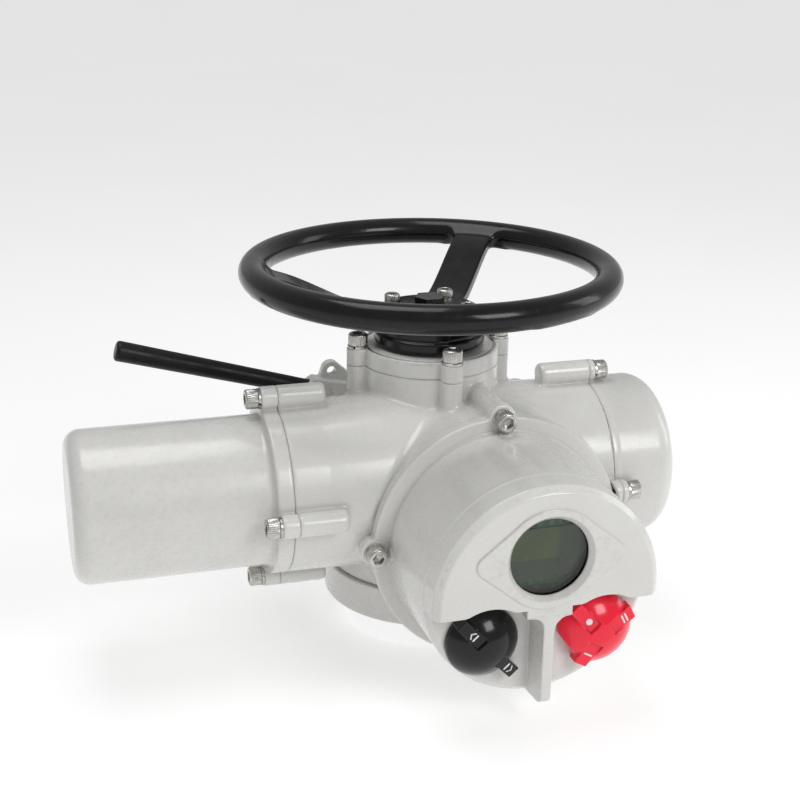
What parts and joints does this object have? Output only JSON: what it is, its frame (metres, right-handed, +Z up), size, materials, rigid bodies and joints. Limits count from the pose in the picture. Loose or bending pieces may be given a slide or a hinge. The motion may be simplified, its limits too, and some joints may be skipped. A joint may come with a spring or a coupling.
{
  "type": "motorized valve actuator",
  "caption": "Multi-turn electric valve actuator: motor and terminal housings on one axis, local control drum with window and rotary knobs, top handwheel and hand/auto lever.",
  "frame": {"origin": "centre of the base mounting face, where the actuator meets the valve", "axes": "+Z up the output column's axis, -X along the motor, +X along the terminal compartment, -Y out of the local control cover"},
  "size_m": [0.4932, 0.3779, 0.3199],
  "materials": {
    "grey_paint": "gloss enamel over a casting",
    "black_enamel": "gloss black enamel",
    "lever_black": "satin black",
    "stainless": "turned stainless steel",
    "black_plastic": "gloss",
    "red_plastic": "gloss",
    "window_glass": "polished",
    "display_green": "backlit panel",
    "circuit_board": "solder mask",
    "dark_moulding": "moulded",
    "pale_moulding": "moulded",
    "bright_steel": "ground",
    "core_steel": "stacked sheet",
    "cast_aluminium": "machined",
    "bronze": "machined",
    "copper_winding": "varnished wire",
    "nickel_brass": "nickel plated",
    "seal_rubber": "moulded"
  },
  "bodies": {
    "root": {"base_screws": "stainless", "base_seal": "seal_rubber", "board_standoffs": "nickel_brass", "conduit_plug": "nickel_brass", "control_board": "circuit_board", "control_cover": "grey_paint", "control_cover_screws": "stainless", "cover_o_rings": "seal_rubber", "display_board": "circuit_board", "display_panel": "display_green", "earth_stud": "stainless", "electronics_chassis": "cast_aluminium", "gearcase": "grey_paint", "handwheel_bearing": "bright_steel", "knob_sensor_board": "circuit_board", "knob_spindles": "stainless", "lever_bush": "bronze", "motor_cover": "grey_paint", "motor_cover_screws": "stainless", "motor_end_shield": "cast_aluminium", "motor_frame": "cast_aluminium", "motor_rear_bearing": "bright_steel", "output_bearings": "bright_steel", "power_transformer": "core_steel", "reversing_contactor": "dark_moulding", "spring_washers": "stainless", "stator_core": "core_steel", "stator_windings": "copper_winding", "terminal_block": "pale_moulding", "terminal_cover": "grey_paint", "terminal_cover_screws": "stainless", "terminal_studs": "nickel_brass", "thrust_base": "grey_paint", "top_cover": "grey_paint", "top_cover_screws": "stainless", "top_seal": "seal_rubber", "window_clamp_ring": "dark_moulding", "window_glass": "window_glass", "worm_bearings": "bright_steel"},
    "handwheel": {"handwheel": "black_enamel", "handwheel_screws": "stainless", "hub_plug": "black_plastic", "hand_drive_sleeve": "bright_steel"},
    "lever": {"clutch_lever": "grey_paint", "lever_rod": "lever_black", "lever_shaft": "stainless", "shift_fork": "bright_steel"},
    "clutch": {"clutch_ring": "bright_steel"},
    "output": {"drive_sleeve": "bright_steel", "drive_bush": "bronze", "worm_wheel": "bronze", "sleeve_circlip": "bright_steel"},
    "worm": {"worm_shaft": "bright_steel", "rotor_core": "core_steel"},
    "black_knob": {"black_knob": "black_plastic", "black_knob_magnet": "bright_steel"},
    "red_knob": {"red_knob": "red_plastic", "red_knob_magnet": "bright_steel"}
  },
  "joints": [
    {"name": "handwheel_spin", "type": "hinge", "parent": "root", "child": "handwheel", "pos_m": [0, 0, 0.282], "axis": [0, 0, 1], "continuous": true},
    {"name": "worm_spin", "type": "hinge", "parent": "root", "child": "worm", "pos_m": [0, -0.042, 0.116], "axis": [1, 0, 0], "continuous": true},
    {"name": "output_spin", "type": "hinge", "parent": "root", "child": "output", "pos_m": [0, 0, 0.1], "axis": [0, 0, 1], "continuous": true},
    {"name": "lever_tilt", "type": "hinge", "parent": "root", "child": "lever", "pos_m": [-0.026, 0.071, 0.146], "axis": [0, -1, 0], "range_deg": [0, 30], "stiffness_Nm_per_rad": 2, "springref_deg": -34.38},
    {"name": "clutch_shift", "type": "slide", "parent": "output", "child": "clutch", "axis": [0, 0, 1], "range_m": [0, 0.01]},
    {"name": "black_knob_turn", "type": "hinge", "parent": "root", "child": "black_knob", "pos_m": [-0.0188, -0.2, 0.0486], "axis": [0, -1, 0], "range_deg": [-45, 45], "stiffness_Nm_per_rad": 0.3},
    {"name": "red_knob_turn", "type": "hinge", "parent": "root", "child": "red_knob", "pos_m": [0.0724, -0.2, 0.0486], "axis": [0, -1, 0], "range_deg": [-60, 60]}
  ],
  "couplings": [
    {"joint": "output_spin", "follows": "worm_spin", "ratio": -0.033333},
    {"joint": "clutch_shift", "follows": "lever_tilt", "m_per_rad": 0.019099}
  ]
}
